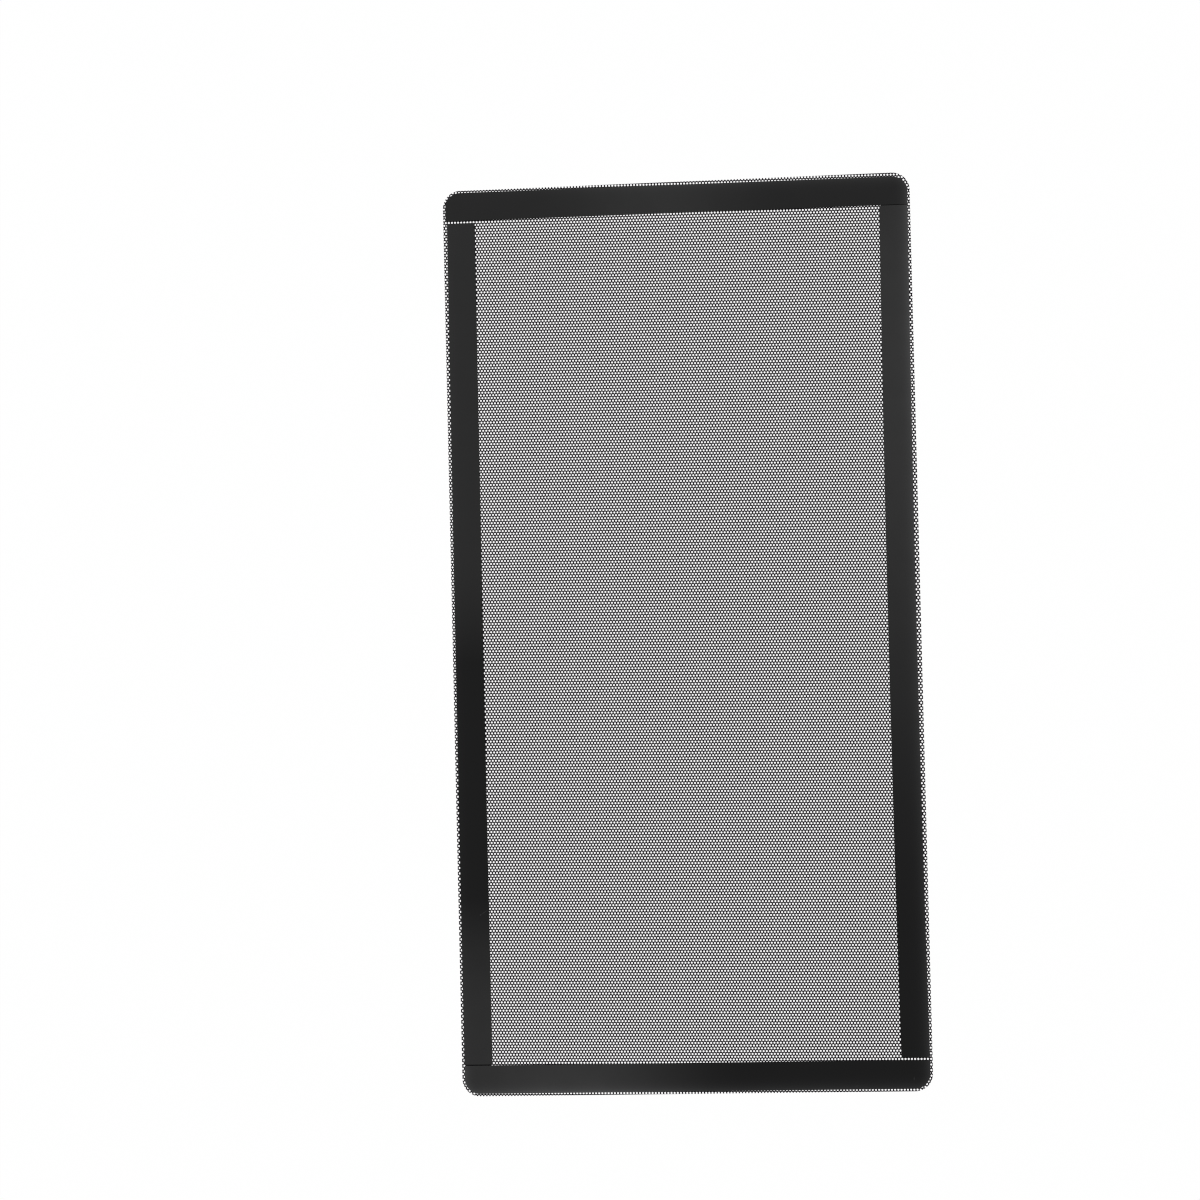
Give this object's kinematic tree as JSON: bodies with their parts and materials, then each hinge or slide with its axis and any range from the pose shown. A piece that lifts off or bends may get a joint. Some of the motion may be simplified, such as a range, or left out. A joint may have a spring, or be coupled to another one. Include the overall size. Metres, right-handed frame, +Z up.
{
  "type": "fan dust filter",
  "caption": "Flat rectangular dust filter for a pair of computer fans: a finely perforated black sheet edged with flexible magnet strips that cling to a steel case.",
  "frame": {"origin": "middle of the sheet's underside, with the filter lying flat on its sheet", "axes": "+X across the width, +Y along the length, +Z up out of the magnet strips"},
  "size_m": [0.122, 0.236, 0.0012],
  "materials": {
    "black_pvc": "satin black PVC, finely perforated",
    "magnet_rubber": "smooth matte dark grey"
  },
  "bodies": {
    "root": {"filter_mesh": "black_pvc", "magnet_strip_top": "magnet_rubber", "magnet_strip_bottom": "magnet_rubber", "magnet_strip_left": "magnet_rubber", "magnet_strip_right": "magnet_rubber"}
  },
  "joints": []
}
